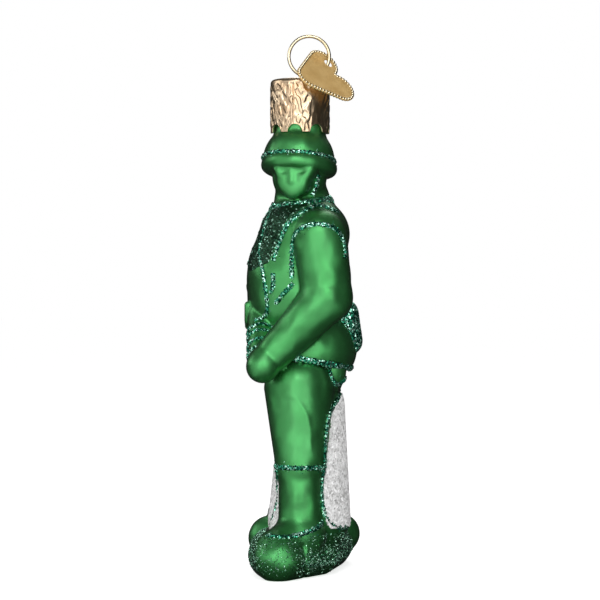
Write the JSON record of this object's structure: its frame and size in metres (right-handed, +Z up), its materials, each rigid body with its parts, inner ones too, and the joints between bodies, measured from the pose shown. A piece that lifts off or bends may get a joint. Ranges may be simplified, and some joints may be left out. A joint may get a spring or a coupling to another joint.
{
  "type": "glass soldier ornament",
  "caption": "Hollow blown-glass hanging ornament in the form of a green toy soldier on a mound, with a crimped metal cap, wire hanger loop, heart tag and raised glitter seams.",
  "frame": {"origin": "on the flat underside of the mound, below the axis of the neck tube and cap", "axes": "+Z up along the neck tube, -Y the way the soldier's chest faces, +X the soldier's left"},
  "size_m": [0.0462, 0.0261, 0.1178],
  "materials": {
    "lacquered_glass": "satin green lacquer over silvered glass",
    "cap_metal": "pale gold, embossed sheet",
    "hanger_wire": "bright gold spring wire",
    "tag_metal": "deep gold, satin",
    "green_glitter": "green glitter grains in clear glue",
    "dark_glitter": "fine dark green glitter sprinkled on lacquer",
    "white_glitter": "white and silver glitter coat"
  },
  "bodies": {
    "figure": {"glass_body": "lacquered_glass", "helmet_band": "green_glitter", "chin_strap": "green_glitter", "collar": "green_glitter", "lapel_left": "green_glitter", "lapel_right": "green_glitter", "vest_front": "green_glitter", "armhole_left": "green_glitter", "armhole_right": "green_glitter", "vest_hem": "green_glitter", "pack_glitter": "green_glitter", "pocket_edge": "green_glitter", "rifle_bands": "green_glitter", "boot_top_left": "green_glitter", "boot_top_right": "green_glitter", "boot_welt_left": "green_glitter", "boot_welt_right": "green_glitter", "leg_lines": "green_glitter", "shirt_front": "dark_glitter", "ground_glitter": "dark_glitter", "web_frost_front": "white_glitter", "web_frost_back": "white_glitter"},
    "cap": {"cap": "cap_metal"},
    "hanger": {"hanger": "hanger_wire"},
    "tag": {"tag": "tag_metal"}
  },
  "joints": [
    {"name": "cap_lift", "type": "slide", "parent": "figure", "child": "cap", "axis": [0, 0, 1], "range_m": [0, 0.024]},
    {"name": "hanger_rock", "type": "hinge", "parent": "cap", "child": "hanger", "pos_m": [0, 0.002, 0.1076], "axis": [0, 1, 0], "range_deg": [-5, 3]},
    {"name": "tag_swing", "type": "hinge", "parent": "hanger", "child": "tag", "pos_m": [0, 0.00618, 0.11144], "axis": [0, 0.342, 0.9397], "range_deg": [0, 115]}
  ]
}
